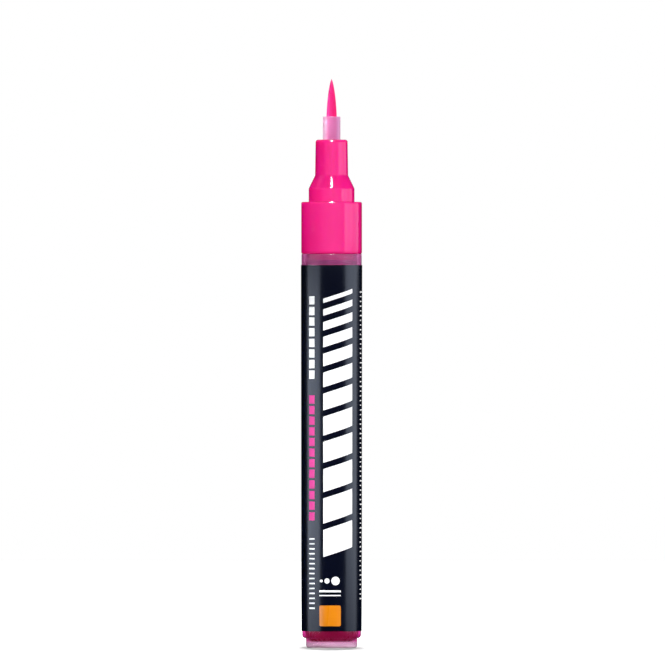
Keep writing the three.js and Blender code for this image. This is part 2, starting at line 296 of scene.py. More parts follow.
# The share of the fine grain in the pink skin's bump
SKIN_GRAIN = 0.2


# Mesh making


def make_object(name, places, faces, sharp=SHARP):
    """A mesh from places in millimetres, smooth apart from its sharp edges."""
    mesh = bpy.data.meshes.new(name)
    mesh.from_pydata([(x * MM, y * MM, z * MM) for x, y, z in places], [], faces)
    work = bmesh.new()
    work.from_mesh(mesh)
    bmesh.ops.recalc_face_normals(work, faces=work.faces)
    work.to_mesh(mesh)
    work.free()
    mesh.polygons.foreach_set("use_smooth", [True] * len(mesh.polygons))
    mesh.set_sharp_from_angle(angle=math.radians(sharp))
    obj = bpy.data.objects.new(name, mesh)
    bpy.context.scene.collection.objects.link(obj)
    return obj


def bend(radius, height, size, start, end, steps=BEND_STEPS):
    """Points of an arc round (radius, height), from start to end in degrees."""
    points = []
    for i in range(steps + 1):
        angle = math.radians(start + (end - start) * i / steps)
        points.append((radius + size * math.cos(angle), height + size * math.sin(angle)))
    return points


def lathe(profile, segments=ROUND):
    """Places and faces of a closed body turned from a profile of (radius, height).
    The profile starts and ends on the axis, or closes on itself."""
    places, rings = [], []
    for radius, height in profile:
        if radius < ON_AXIS:
            rings.append([len(places)] * segments)
            places.append((0, 0, height))
            continue
        start = len(places)
        rings.append(list(range(start, start + segments)))
        for k in range(segments):
            angle = TURN * k / segments
            places.append((radius * math.cos(angle), radius * math.sin(angle), height))
    if profile[0][0] > ON_AXIS:
        rings.append(rings[0])
    faces = []
    for lower, upper in zip(rings, rings[1:]):
        for k in range(segments):
            n = (k + 1) % segments
            corners = [lower[k], lower[n], upper[n], upper[k]]
            face = [c for i, c in enumerate(corners) if c not in corners[:i]]
            if len(face) > 2:
                faces.append(face)
    return places, faces


def tube(path, radii, sides):
    """Places and faces of a round tube along path, closed at both ends."""
    places, faces = [], []
    for i, point in enumerate(path):
        before, after = path[max(i - 1, 0)], path[min(i + 1, len(path) - 1)]
        along = (Vector(after) - Vector(before)).normalized()
        level = Vector((0, 0, 1)) if abs(along.z) < UPRIGHT else Vector((1, 0, 0))
        side = along.cross(level).normalized()
        up = side.cross(along)
        for k in range(sides):
            angle = TURN * k / sides
            spot = Vector(point) + radii[i] * (math.cos(angle) * side + math.sin(angle) * up)
            places.append(tuple(spot))
    for i in range(len(path) - 1):
        for k in range(sides):
            n = (k + 1) % sides
            faces.append((i * sides + k, i * sides + n, (i + 1) * sides + n, (i + 1) * sides + k))
    faces.append(tuple(range(sides)))
    last = (len(path) - 1) * sides
    faces.append(tuple(range(last, last + sides)))
    return places, faces


def sweep_faces(count):
    """Faces of a bar with four sides, swept in a number of steps and closed at both ends.
    Each step has four places, in two rows of two."""
    faces = []
    for i in range(count):
        a, b = 4 * i, 4 * (i + 1)
        for p, q in ((0, 2), (2, 3), (3, 1), (1, 0)):
            faces.append((a + p, a + q, b + q, b + p))
    last = 4 * count
    faces.append((0, 1, 3, 2))
    faces.append((last, last + 2, last + 3, last + 1))
    return faces


def helix_ridge(radius, start, turns, outward, phase=0.0):
    """Places and faces of a thread's ridge: a trapezium swept up a helix, its ends run out."""
    count = int(turns * THREAD_STEPS)
    run_out = THREAD_RUN_OUT * THREAD_STEPS
    places = []
    for i in range(count + 1):
        angle = TURN * i / THREAD_STEPS + phase
        middle = start + PITCH * i / THREAD_STEPS
        fade = min(1, i / run_out, (count - i) / run_out)
        height = THREAD_HEIGHT * max(fade, THREAD_LEAST)
        root = radius - outward * THREAD_SINK
        crest = radius + outward * height
        for r, half in ((root, THREAD_ROOT), (crest, THREAD_CREST)):
            for sign in (-1, 1):
                z = middle + sign * half / 2
                places.append((r * math.cos(angle), r * math.sin(angle), z))
    return places, sweep_faces(count)


def box_mesh(centre, size, turn=0.0):
    """Places and faces of a box, turned about the Z axis after it is placed."""
    places = []
    c, s = math.cos(turn), math.sin(turn)
    for x in (-1, 1):
        for y in (-1, 1):
            for z in (-1, 1):
                px, py = centre[0] + x * size[0] / 2, centre[1] + y * size[1] / 2
                places.append((px * c - py * s, px * s + py * c, centre[2] + z * size[2] / 2))
    faces = [(0, 1, 3, 2), (4, 6, 7, 5), (0, 4, 5, 1), (2, 3, 7, 6), (0, 2, 6, 4), (1, 5, 7, 3)]
    return places, faces


def gather(*parts):
    """One list of places and faces from several."""
    places, faces = [], []
    for part_places, part_faces in parts:
        start = len(places)
        places.extend(part_places)
        faces.extend(tuple(start + c for c in face) for face in part_faces)
    return places, faces


def even_shading(obj):
    """Large faces lead the shading, so that only the small bends look round."""
    modifier = obj.modifiers.new("even_shading", "WEIGHTED_NORMAL")
    modifier.keep_sharp = True


def paint_with(obj, material):
    obj.data.materials.clear()
    obj.data.materials.append(material)


def dress(obj, material, body, slot, *nodes):
    """Give a new piece its material and body, and hide the CAD nodes that it stands for. The slot is not
    used.
    """
    paint_with(obj, material)
    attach(obj, body)
    if nodes:
        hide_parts(*nodes)


# Node graphs

# The colour sockets among all the sockets of a Mix node
MIX_SHARE, MIX_FIRST, MIX_SECOND, MIX_RESULT = 0, 6, 7, 2

# Most values of a noise lie in this range
NOISE_RANGE = (0.3, 0.7)


class Graph:
    """The nodes of a material or of the world, with one short call for each kind."""

    def __init__(self, owner, shader="Principled BSDF"):
        owner.use_nodes = True
        self.owner = owner
        self.nodes = owner.node_tree.nodes
        self.links = owner.node_tree.links
        self.shader = self.nodes[shader]

    def put(self, socket, value):
        if isinstance(value, bpy.types.NodeSocket):
            self.links.new(value, socket)
        else:
            socket.default_value = value

    def set(self, **values):
        for name, value in values.items():
            self.put(self.shader.inputs[name.replace("_", " ")], value)

    def math(self, operation, a, b=0.0):
        node = self.nodes.new("ShaderNodeMath")
        node.operation = operation
        self.put(node.inputs[0], a)
        self.put(node.inputs[1], b)
        return node.outputs[0]

    def add_share(self, base, value, share):
        return self.math("ADD", base, self.math("MULTIPLY", value, share))

    def length(self, a, b):
        return self.math("SQRT", self.math("ADD", self.math("POWER", a, 2.0), self.math("POWER", b, 2.0)))

    def place(self, kind="Object"):
        return self.nodes.new("ShaderNodeTexCoord").outputs[kind]

    def ray(self, kind):
        return self.nodes.new("ShaderNodeLightPath").outputs[kind]

    def split(self, vector):
        node = self.nodes.new("ShaderNodeSeparateXYZ")
        self.put(node.inputs[0], vector)
        return node.outputs

    def stretch(self, along):
        """Coordinates for a pattern that runs along the axis, the longer the smaller the scale."""
        node = self.nodes.new("ShaderNodeMapping")
        self.put(node.inputs["Vector"], self.place())
        node.inputs["Scale"].default_value = (1, 1, along)
        return node.outputs[0]

    def noise(self, vector, scale, detail, rough=0.5):
        node = self.nodes.new("ShaderNodeTexNoise")
        self.put(node.inputs["Vector"], vector)
        node.inputs["Scale"].default_value = scale
        node.inputs["Detail"].default_value = detail
        node.inputs["Roughness"].default_value = rough
        return node.outputs["Fac"]

    def span(self, value, low_in, high_in, low_out, high_out, shape="LINEAR"):
        node = self.nodes.new("ShaderNodeMapRange")
        node.interpolation_type = shape
        self.put(node.inputs["Value"], value)
        node.inputs["From Min"].default_value = low_in
        node.inputs["From Max"].default_value = high_in
        node.inputs["To Min"].default_value = low_out
        node.inputs["To Max"].default_value = high_out
        return node.outputs["Result"]

    def spread(self, noise, low_out, high_out, ends=NOISE_RANGE):
        return self.span(noise, *ends, low_out, high_out)

    def change(self, place, ends, low_out, high_out):
        """A change along a coordinate, between two ends in millimetres."""
        return self.span(place, ends[0] * MM, ends[1] * MM, low_out, high_out)

    def mix(self, share, first, second):
        node = self.nodes.new("ShaderNodeMix")
        node.data_type = "RGBA"
        self.put(node.inputs[MIX_SHARE], share)
        self.put(node.inputs[MIX_FIRST], first)
        self.put(node.inputs[MIX_SECOND], second)
        return node.outputs[MIX_RESULT]

    def bump(self, height, strength, depth):
        """Small relief, whose depth is in millimetres."""
        node = self.nodes.new("ShaderNodeBump")
        node.inputs["Strength"].default_value = strength
        node.inputs["Distance"].default_value = depth * MM
        self.put(node.inputs["Height"], height)
        return node.outputs["Normal"]


def colour(red, green, blue):
    return (red, green, blue, 1.0)


def grey(level):
    return colour(level, level, level)


# Shapes of the print


class Print:
    """Masks on the label, 1 inside a shape and 0 outside. Each shape has its ends s0 and s1 in
    millimetres round the label from the front, and z0 and z1 above the foot."""

    def __init__(self, graph, radius):
        self.g = graph
        x, y, z = graph.split(graph.place())
        angle = graph.math("ARCTAN2", x, graph.math("MULTIPLY", y, -1.0))
        self.s = graph.math("MULTIPLY", angle, radius)
        self.z = graph.math("DIVIDE", z, MM)

    def band(self, value, centre, half):
        away = self.g.math("ABSOLUTE", self.g.math("SUBTRACT", value, centre))
        return self.g.math("LESS_THAN", away, half)

    def bar(self, s0, s1, z0, z1):
        across = self.band(self.s, (s0 + s1) / 2, (s1 - s0) / 2)
        up = self.band(self.z, (z0 + z1) / 2, (z1 - z0) / 2)
        return self.g.math("MULTIPLY", across, up)

    def rounded(self, s0, s1, z0, z1, corner):
        """A rectangle with round corners, by its distance field."""
        g = self.g
        sides = []
        for value, a, b in ((self.s, s0, s1), (self.z, z0, z1)):
            away = g.math("ABSOLUTE", g.math("SUBTRACT", value, (a + b) / 2))
            past = g.math("SUBTRACT", away, (b - a) / 2 - corner)
            sides.append(g.math("MAXIMUM", past, 0.0))
        return g.math("LESS_THAN", g.length(*sides), corner)

    def slanted(self, s0, s1, z0, z1, slope):
        """A bar whose ends stay upright while it climbs to the right."""
        climb = self.g.math("MULTIPLY", self.g.math("SUBTRACT", self.s, (s0 + s1) / 2), slope)
        level = self.g.math("SUBTRACT", self.z, climb)
        across = self.band(self.s, (s0 + s1) / 2, (s1 - s0) / 2)
        return self.g.math("MULTIPLY", across, self.band(level, (z0 + z1) / 2, (z1 - z0) / 2))

    def disc(self, s, z, radius):
        return self.rounded(s - radius, s + radius, z - radius, z + radius, radius)

    def repeat(self, s0, s1, z0, z1, pitch, thick):
        """Bars of one thickness, one above the other."""
        g = self.g
        part = g.math("FRACT", g.math("DIVIDE", g.math("SUBTRACT", self.z, z0), pitch))
        line = g.math("LESS_THAN", part, thick / pitch)
        return self.all(line, self.bar(s0, s1, z0, z1))

    def ticks(self, s0, s_short, s_long, z0, z1):
        """A plain ruler with a mark each millimetre and a longer one each five."""
        marks = []
        for pitch, s_end, thick in ((1.0, s_short, TICK_SHORT), (5.0, s_long, TICK_LONG)):
            marks.append(self.repeat(s0, s_end, z0 - thick / 2, z1 + thick / 2, pitch, thick))
        return self.any(*marks)

    def all(self, *masks):
        found = masks[0]
        for mask in masks[1:]:
            found = self.g.math("MULTIPLY", found, mask)
        return found

    def any(self, *masks):
        found = masks[0]
        for mask in masks[1:]:
            found = self.g.math("MAXIMUM", found, mask)
        return found


# Materials

# A painted glow for the fluorescent pink: a fixed emission that is the same in light and in shade,
# and a deeper glow for the painted shade at the collar's foot
GLOW = colour(1.0, 0.0, 0.2)
GLOW_IN_PAINTED_SHADE = colour(0.85, 0.0, 0.15)


def pink_plastic():
    """Fluorescent moulded plastic: glossy and slightly translucent, with a weak painted glow, a tinted
    skin that deepens its rims, and painted shade, a darker base colour and glow, where the collar meets the
    tank."""
    g = Graph(bpy.data.materials.new("pink_plastic"))
    fine = g.noise(g.place(), scale=9000, detail=2)
    broad = g.noise(g.place(), scale=260, detail=3)
    shade = g.mix(broad, colour(0.5, 0.012, 0.17), colour(0.53, 0.015, 0.185))
    # Painted shade: the collar's downward-facing bottom edge gets a darker base colour and glow
    painted_foot_shade = g.change(g.split(g.place())["Z"], COLLAR_SHADE, 1.0, 0.0)
    g.set(
        Base_Color=g.mix(painted_foot_shade, shade, colour(0.42, 0.002, 0.1)),
        Roughness=g.spread(broad, 0.07, 0.1),
        Normal=g.bump(g.add_share(broad, fine, SKIN_GRAIN), strength=0.12, depth=0.02),
        Subsurface_Weight=0.5,
        Subsurface_Radius=(1.0, 0.0, 0.4),
        Subsurface_Scale=4 * MM,
        IOR=1.42,
        Coat_Weight=1.0,
        Coat_Roughness=0.08,
        Coat_IOR=1.02,
        Coat_Tint=colour(0.88, 0.8, 0.85),
        # The painted glow, deeper in the painted shade at the collar's foot
        Emission_Color=g.mix(painted_foot_shade, GLOW, GLOW_IN_PAINTED_SHADE),
        Emission_Strength=0.46,
    )
    return g.owner


def clear_plastic():
    """Clear tank plastic: pale in the foot, stained where the tank has held paint, and hazy at
    the mouth. The foot's bottom edge has painted light: it is paler and less clear."""
    g = Graph(bpy.data.materials.new("clear_plastic"))
    broad = g.noise(g.stretch(0.35), scale=500, detail=3)
    patches = g.spread(broad, 0.0, 1.0, TANK_PATCHES)
    pale = g.mix(patches, colour(0.76, 0.43, 0.64), colour(0.7, 0.36, 0.58))
    stained = g.mix(patches, colour(0.62, 0.05, 0.3), colour(0.56, 0.035, 0.26))
    hazy = g.mix(patches, colour(0.58, 0.15, 0.39), colour(0.48, 0.1, 0.31))
    z = g.split(g.place())["Z"]
    # Painted light: the foot's bottom edge is paler and less clear than the rest of the foot
    edge = g.change(z, FOOT_EDGE_PAINTED_LIGHT, 1.0, 0.0)
    pale = g.mix(edge, pale, colour(1.0, 0.7, 0.88))
    above = g.change(z, TANK_STAIN, 0.0, 1.0)
    mouth = g.change(z, MOUTH_HAZE, 0.0, 1.0)
    clear = g.span(above, 0.0, 1.0, FOOT_CLEAR, TANK_CLEAR)
    cloud = g.add_share(g.math("MULTIPLY", mouth, MOUTH_CLOUD), edge, PAINTED_LIGHT_CLOUD)
    g.set(
        Base_Color=g.mix(mouth, g.mix(above, pale, stained), hazy),
        Transmission_Weight=g.math("SUBTRACT", clear, cloud),
        Roughness=g.spread(broad, 0.1, 0.2),
        Normal=g.bump(broad, strength=0.1, depth=0.03),
        IOR=1.12,
        Coat_Weight=0.4,
        Coat_Roughness=0.2,
    )
    return g.owner


def sleeve_plastic():
    """Milky translucent sleeve round the brush, wet inside in patches, with painted light on its left side
    and, half as strong, on its right rim.
    """
    g = Graph(bpy.data.materials.new("sleeve_plastic"))
    patches = g.noise(g.stretch(0.4), scale=600, detail=2, rough=0.4)
    wet = g.spread(patches, 0.0, 1.0, SLEEVE_PATCHES)
    stained = g.mix(wet, colour(0.68, 0.28, 0.56), colour(0.63, 0.245, 0.51))
    # Painted light: the left side, and half as much the right rim, are paler and clearer
    x = g.split(g.place())["X"]
    left = g.change(x, SLEEVE_LEFT, 1.0, 0.0)
    right = g.change(x, SLEEVE_RIGHT, 0.0, 0.5)
    painted_lit_sides = g.math("MAXIMUM", left, right)
    g.set(
        Base_Color=g.mix(painted_lit_sides, stained, colour(0.94, 0.56, 0.78)),
        Roughness=g.spread(patches, 0.28, 0.4),
        Normal=g.bump(patches, strength=0.05, depth=0.02),
        IOR=1.08,
        Transmission_Weight=g.span(painted_lit_sides, 0.0, 1.0, SLEEVE_WET, SLEEVE_LIT_SIDES),
        Coat_Weight=0.5,
        Coat_Roughness=0.3,
    )
    return g.owner


def wet_paint():
    """Paint that clings to the tank's wall, thick and thin in streaks."""
    g = Graph(bpy.data.materials.new("wet_paint"))
    streak = g.noise(g.stretch(0.2), scale=1200, detail=4, rough=0.6)
    g.set(
        Base_Color=g.mix(streak, colour(0.22, 0.0, 0.03), colour(0.31, 0.0, 0.05)),
        Roughness=g.spread(streak, 0.2, 0.4),
        Normal=g.bump(streak, strength=0.3, depth=0.05),
    )
    return g.owner


def black_film():
    """Glossy dark film with plain printed shapes."""
    g = Graph(bpy.data.materials.new("black_film"))
    p = Print(g, BODY_RADIUS_HIGH + LABEL_WALL)
    grain = g.noise(g.place(), scale=5200, detail=2)
    wave = g.noise(g.stretch(0.25), scale=160, detail=2)
    blocks, top = [], BLOCKS_TOP
    for i in range(BLOCK_COUNT):
        thick = BLOCK_FIRST + i * BLOCK_GROWTH
        blocks.append(p.slanted(BLOCKS_LEFT, BLOCKS_RIGHT, top - thick, top, BLOCK_SLOPE))
        top -= thick + BLOCK_GAP
    dots = [p.disc(s, DOTS_LEVEL, radius) for s, radius in DOTS]
    lines = [p.bar(PATCH_LEFT, PATCH_RIGHT, z - half, z + half) for z, half in LINES]
    patch = p.rounded(PATCH_LEFT, PATCH_RIGHT, PATCH_BOTTOM, PATCH_TOP, PATCH_CORNER)
    bold = p.repeat(ROW_LEFT, ROW_RIGHT, *WHITE_ROW, ROW_PITCH, ROW_BAR)
    pink = p.repeat(ROW_LEFT, ROW_RIGHT, *PINK_ROW, ROW_PITCH, ROW_BAR)
    fine = p.repeat(ROW_LEFT, ROW_RIGHT, *RUNG_ROW, RUNG_PITCH, RUNG_BAR)
    scale = p.ticks(SCALE_LEFT, SCALE_SHORT, SCALE_LONG, SCALE_BOTTOM, SCALE_TOP)
    white = p.any(*blocks, *dots, *lines, bold, fine, scale)
    shade = g.mix(grain, colour(0.0002, 0.0009, 0.0058), colour(0.0004, 0.0015, 0.0085))
    shade = g.mix(white, shade, grey(0.93))
    shade = g.mix(pink, shade, colour(0.68, 0.002, 0.26))
    shade = g.mix(patch, shade, colour(0.66, 0.205, 0.0))
    ink = p.any(white, pink, patch)
    rough = g.add_share(g.spread(wave, 0.21, 0.25), ink, INK_ROUGH)
    rough = g.add_share(rough, pink, PINK_ROUGH)
    height = g.add_share(g.math("MULTIPLY", wave, WAVE_BUMP), ink, INK_BUMP)
    g.set(
        Base_Color=shade,
        Roughness=rough,
        Specular_Tint=colour(0.9, 0.94, 1.0),
        Normal=g.bump(height, strength=0.15, depth=0.03),
    )
    return g.owner


def brush_fibre():
    """Fine synthetic hairs wet with paint, with a painted highlight down the left side, painted shade down
    the right and a weak painted glow.
    """
    g = Graph(bpy.data.materials.new("brush_fibre"))
    strands = g.noise(g.stretch(0.02), scale=9000, detail=2)
    # Painted highlight on the left side and painted shade on the right, across the brush from side to side
    side = g.add_share(g.split(g.place())["X"], strands, BRUSH_STRAY * MM)
    left = g.change(side, BRUSH_LEFT, 0.0, 1.0)
    right = g.change(side, BRUSH_RIGHT, 0.0, 1.0)
    painted_left_highlight = g.mix(left, colour(0.6, 0.07, 0.38), colour(0.44, 0.01, 0.14))
    g.set(
        Base_Color=g.mix(right, painted_left_highlight, colour(0.41, 0.001, 0.08)),
        Roughness=g.spread(strands, 0.28, 0.4),
        Normal=g.bump(strands, strength=0.25, depth=0.03),
        IOR=1.36,
        # A painted glow, as on the pink plastic
        Emission_Color=GLOW,
        Emission_Strength=0.42,
        Sheen_Weight=0.04,
        Sheen_Tint=colour(1.0, 0.45, 0.8),
    )
    return g.owner


def rod_fibre():
    """Pressed porous fibre that the paint has soaked."""
    g = Graph(bpy.data.materials.new("rod_fibre"))
    strands = g.noise(g.stretch(0.04), scale=7000, detail=3)
    soak = g.math("MULTIPLY", g.noise(g.place(), scale=500, detail=3), strands)
    g.set(
        Base_Color=g.mix(soak, colour(0.7, 0.38, 0.54), colour(0.66, 0.1, 0.32)),
        Roughness=0.85,
        Normal=g.bump(strands, strength=0.5, depth=0.04),
    )
    return g.owner


def rubber(name, dark, light):
    """Matte rubber with a fine grain."""
    g = Graph(bpy.data.materials.new(name))
    grain = g.noise(g.place(), scale=6000, detail=3)
    g.set(
        Base_Color=g.mix(grain, dark, light),
        Roughness=g.spread(grain, 0.5, 0.7),
        Normal=g.bump(grain, strength=0.3, depth=0.02),
    )
    return g.owner


def white_plastic():
    """Natural moulded plastic, tinted where paint has dried on it."""
    g = Graph(bpy.data.materials.new("white_plastic"))
    film = g.noise(g.place(), scale=420, detail=4, rough=0.6)
    stain = g.spread(film, 0.0, 0.8, DRIED_PAINT)
    g.set(
        Base_Color=g.mix(stain, colour(0.86, 0.84, 0.82), colour(0.9, 0.3, 0.55)),
        Roughness=g.spread(film, 0.35, 0.5),
        Normal=g.bump(film, strength=0.1, depth=0.03),
        Subsurface_Weight=0.1,
        Subsurface_Scale=0.6 * MM,
    )
    return g.owner


def steel(name, rough_low, rough_high, along):
    """Bright steel with fine marks, which a scale above 1 packs closer along the axis."""
    g = Graph(bpy.data.materials.new(name))
    lines = g.noise(g.stretch(along), scale=3500, detail=3)
    g.set(
        Base_Color=g.mix(lines, colour(0.6, 0.61, 0.62), colour(0.74, 0.75, 0.76)),
        Roughness=g.spread(lines, rough_low, rough_high),
        Normal=g.bump(lines, strength=0.1, depth=0.01),
        Metallic=1.0,
    )
    return g.owner


MATERIALS = {
    "pink_plastic": pink_plastic(),
    "clear_plastic": clear_plastic(),
    "holder_plastic": sleeve_plastic(),
    "wet_paint": wet_paint(),
    "black_film": black_film(),
    "brush_fibre": brush_fibre(),
    "rod_fibre": rod_fibre(),
    "seal_rubber": rubber("seal_rubber", colour(0.09, 0.035, 0.07), colour(0.13, 0.055, 0.1)),
    "seat_rubber": rubber("seat_rubber", colour(0.035, 0.033, 0.035), colour(0.06, 0.057, 0.06)),
    "white_plastic": white_plastic(),
    "ball_steel": steel("ball_steel", 0.08, 0.14, 1),
    "spring_steel": steel("spring_steel", 0.22, 0.34, 6),
}


# Barrel


def bore_radius(height):
    """The tank's inner radius, which widens upwards."""
    share = (height - BODY_BOTTOM) / (BODY_TOP - BODY_BOTTOM)
    return BODY_RADIUS_LOW - WALL + share * (BODY_RADIUS_HIGH - BODY_RADIUS_LOW)


def make_barrel():
    thread_low = BODY_TOP - THREAD_ZONE
    floor_bore = bore_radius(BODY_BOTTOM)
    profile = [(0, RECESS_DEPTH - GATE_HEIGHT), (GATE_TIP, RECESS_DEPTH - GATE_HEIGHT)]
    profile += [(GATE_RADIUS, RECESS_DEPTH), (RECESS_RADIUS - RECESS_DEPTH, RECESS_DEPTH)]
    profile += bend(RECESS_RADIUS + RECESS_EDGE, RECESS_EDGE, RECESS_EDGE, RECESS_TURN, -90, TINY_STEPS)
    profile += bend(STUB_RADIUS - STUB_CORNER, STUB_CORNER, STUB_CORNER, -90, 0)
    profile += bend(STUB_RADIUS + STUB_FILLET, STUB_HEIGHT - STUB_FILLET, STUB_FILLET, 180, 90, TINY_STEPS)
    profile += bend(BAND_RADIUS - BAND_CORNER, STUB_HEIGHT + BAND_CORNER, BAND_CORNER, -90, 0, WIDE_STEPS)
    profile += [(BAND_RADIUS, BODY_BOTTOM), (BODY_RADIUS_LOW, BODY_BOTTOM), (BODY_RADIUS_HIGH, BODY_TOP)]
    edge_height = MOUTH_TOP - MOUTH_EDGE
    profile += bend(BODY_RADIUS_HIGH - MOUTH_EDGE, edge_height, MOUTH_EDGE, 0, 90, TINY_STEPS)
    profile += bend(MOUTH_BORE + MOUTH_EDGE, edge_height, MOUTH_EDGE, 90, 180, TINY_STEPS)
    profile += [(MOUTH_BORE, BODY_TOP), (THREAD_BORE, BODY_TOP), (THREAD_BORE, thread_low)]
    profile += [(bore_radius(thread_low), thread_low)]
    profile += bend(floor_bore - FLOOR_FILLET, FLOOR_TOP + FLOOR_FILLET, FLOOR_FILLET, 0, -90)
    profile += [(0, FLOOR_TOP)]
    barrel = make_object("barrel_shell", *lathe(profile))
    even_shading(barrel)
    dress(barrel, MATERIALS["clear_plastic"], "barrel", "clear_plastic", "barrel")

    ridge = helix_ridge(THREAD_BORE, thread_low + BARREL_THREAD_START, BARREL_THREAD_TURNS, -1, math.pi)
    thread = make_object("barrel_thread", *ridge)
    dress(thread, MATERIALS["clear_plastic"], "barrel", "clear_plastic")


def make_paint():
    """The film of paint that clings to the tank's floor and wall, sunk a little into them."""
    top = BODY_TOP - THREAD_ZONE - FILM_TOP_GAP
    top_radius = bore_radius(top) + FILM_SINK
    outer = FLOOR_FILLET + FILM_SINK
    centre = bore_radius(BODY_BOTTOM) - FLOOR_FILLET
    profile = [(0, FLOOR_TOP - FILM_SINK)]
    profile += bend(centre, FLOOR_TOP + FLOOR_FILLET, outer, -90, 0)
    profile += [(top_radius, top), (top_radius - FILM_WALL, top)]
    profile += bend(centre, FLOOR_TOP + FLOOR_FILLET, outer - FILM_WALL, 0, -90)
    profile += [(0, FLOOR_TOP - FILM_SINK + FILM_WALL)]
    paint = make_object("paint_on_wall", *lathe(profile))
    dress(paint, MATERIALS["wet_paint"], "barrel", "clear_plastic")


def make_label():
    """The film goes once round and laps over its own start at the back."""
    start, end = -math.pi - SEAM_ANGLE, math.pi + SEAM_ANGLE
    places = []
    for i in range(LABEL_STEPS + 1):
        angle = start + (end - start) * i / LABEL_STEPS
        rise = (angle - (math.pi - SEAM_ANGLE - SEAM_RAMP)) / SEAM_RAMP
        lift = (LABEL_WALL + SEAM_LIFT) * min(max(rise, 0.0), 1.0)
        for height, radius in ((BODY_BOTTOM, BODY_RADIUS_LOW), (BODY_TOP, BODY_RADIUS_HIGH)):
            for wall in (0.0, LABEL_WALL):
                r = radius + LABEL_GAP + lift + wall
                places.append((r * math.sin(angle), -r * math.cos(angle), height))
    label = make_object("label_film", places, sweep_faces(LABEL_STEPS))
    dress(label, MATERIALS["black_film"], "barrel", "black_film", "barrel_label")


# Front section


def make_section():
    """The spigot with its groove, the collar, nose, cone and neck, and the ribs in the neck."""
    collar_top = MOUTH_TOP + COLLAR_HEIGHT
    nose_top = collar_top + NOSE_HEIGHT
    cone_top = nose_top + CONE_HEIGHT
    cone_in = nose_top + CONE_HEIGHT / 2
    groove_low, groove_high = SEAL_LOW - GROOVE_SIDE, SEAL_HIGH + GROOVE_SIDE
    profile = [(SPIGOT_BORE, SPIGOT_BOTTOM), (SPIGOT_RADIUS, SPIGOT_BOTTOM)]
    profile += [(SPIGOT_RADIUS, groove_low), (GROOVE_RADIUS, groove_low)]
    profile += [(GROOVE_RADIUS, groove_high), (SPIGOT_RADIUS, groove_high), (SPIGOT_RADIUS, MOUTH_TOP)]
    foot_radius, edge_radius = COLLAR_RADIUS - COLLAR_FOOT, COLLAR_RADIUS - COLLAR_EDGE
    profile += bend(foot_radius, MOUTH_TOP + COLLAR_FOOT, COLLAR_FOOT, -90, 0, EDGE_STEPS)
    profile += bend(edge_radius, collar_top - COLLAR_EDGE, COLLAR_EDGE, 0, 90, WIDE_STEPS)
    profile += bend(NOSE_RADIUS + NOSE_FILLET, collar_top + NOSE_FILLET, NOSE_FILLET, -90, -180, TINY_STEPS)
    profile += [(NOSE_RADIUS, nose_top - CONE_EDGE), (NOSE_RADIUS - CONE_EDGE / 2, nose_top + CONE_EDGE)]
    profile += [(NECK_RADIUS_LOW + CONE_EDGE / 2, cone_top - CONE_EDGE)]
    profile += [(NECK_RADIUS_LOW, cone_top + CONE_EDGE)]
    profile += bend(NECK_RADIUS_HIGH - NECK_EDGE, NECK_TOP - NECK_EDGE, NECK_EDGE, 0, 90, WIDE_STEPS)
    profile += [(NECK_BORE + MOUTH_CHAMFER, NECK_TOP), (NECK_BORE, NECK_TOP - MOUTH_CHAMFER)]
    profile += [(NECK_BORE, cone_in), (CHAMBER_RADIUS, cone_in - CHAMBER_SHOULDER)]
    profile += [(CHAMBER_RADIUS, CHAMBER_LEDGE), (SPIGOT_BORE, CHAMBER_LEDGE)]
    parts = [lathe(profile)]
    rib_low, rib_high = cone_in + RIB_HEIGHT, NECK_TOP - 2 * MOUTH_CHAMFER
    for i in range(RIBS):
        centre = (NECK_BORE, 0, (rib_low + rib_high) / 2)
        parts.append(box_mesh(centre, (2 * RIB_HEIGHT, RIB_WIDTH, rib_high - rib_low), TURN * i / RIBS))
    section = make_object("section_shell", *gather(*parts))
    even_shading(section)
    dress(section, MATERIALS["pink_plastic"], "section", "pink_plastic", "front_section")

    ridge = helix_ridge(SPIGOT_RADIUS, SPIGOT_BOTTOM + SECTION_THREAD_START, SECTION_THREAD_TURNS, 1)
    thread = make_object("section_thread", *ridge)
    dress(thread, MATERIALS["pink_plastic"], "section", "pink_plastic")


def make_seal():
    cord = (SEAL_HIGH - SEAL_LOW) / 2
    ring = reach("section_seal") - cord
    profile = bend(ring, (SEAL_HIGH + SEAL_LOW) / 2, cord, 0, 360, SEAL_STEPS)[:-1]
    seal = make_object("seal_ring", *lathe(profile))
    dress(seal, MATERIALS["seal_rubber"], "seal_ring", "seal_rubber", "section_seal")


# Nib


def make_sleeve():
    bore = SLEEVE_RADIUS - SLEEVE_WALL
    edge = SLEEVE_CHAMFER
    profile = [(bore, SLEEVE_BOTTOM)]
    profile += bend(SLEEVE_RADIUS - edge, SLEEVE_BOTTOM + edge, edge, -90, 0, TINY_STEPS)
    profile += bend(SLEEVE_RADIUS - edge, SLEEVE_TOP - edge, edge, 0, 90, EDGE_STEPS)
    profile += bend(bore + edge, SLEEVE_TOP - edge, edge, 90, 180, EDGE_STEPS)
    sleeve = make_object("nib_sleeve", *lathe(profile, SLEEVE_ROUND))
    even_shading(sleeve)
    dress(sleeve, MATERIALS["holder_plastic"], "nib", "holder_plastic", "nib_holder")


def brush_radius(share):
    """The outline of the brush: its radius at a share of its length."""
    return FIBRE_RADIUS * max(1 - share**BRUSH_SWELL, 0.0) ** BRUSH_POINT


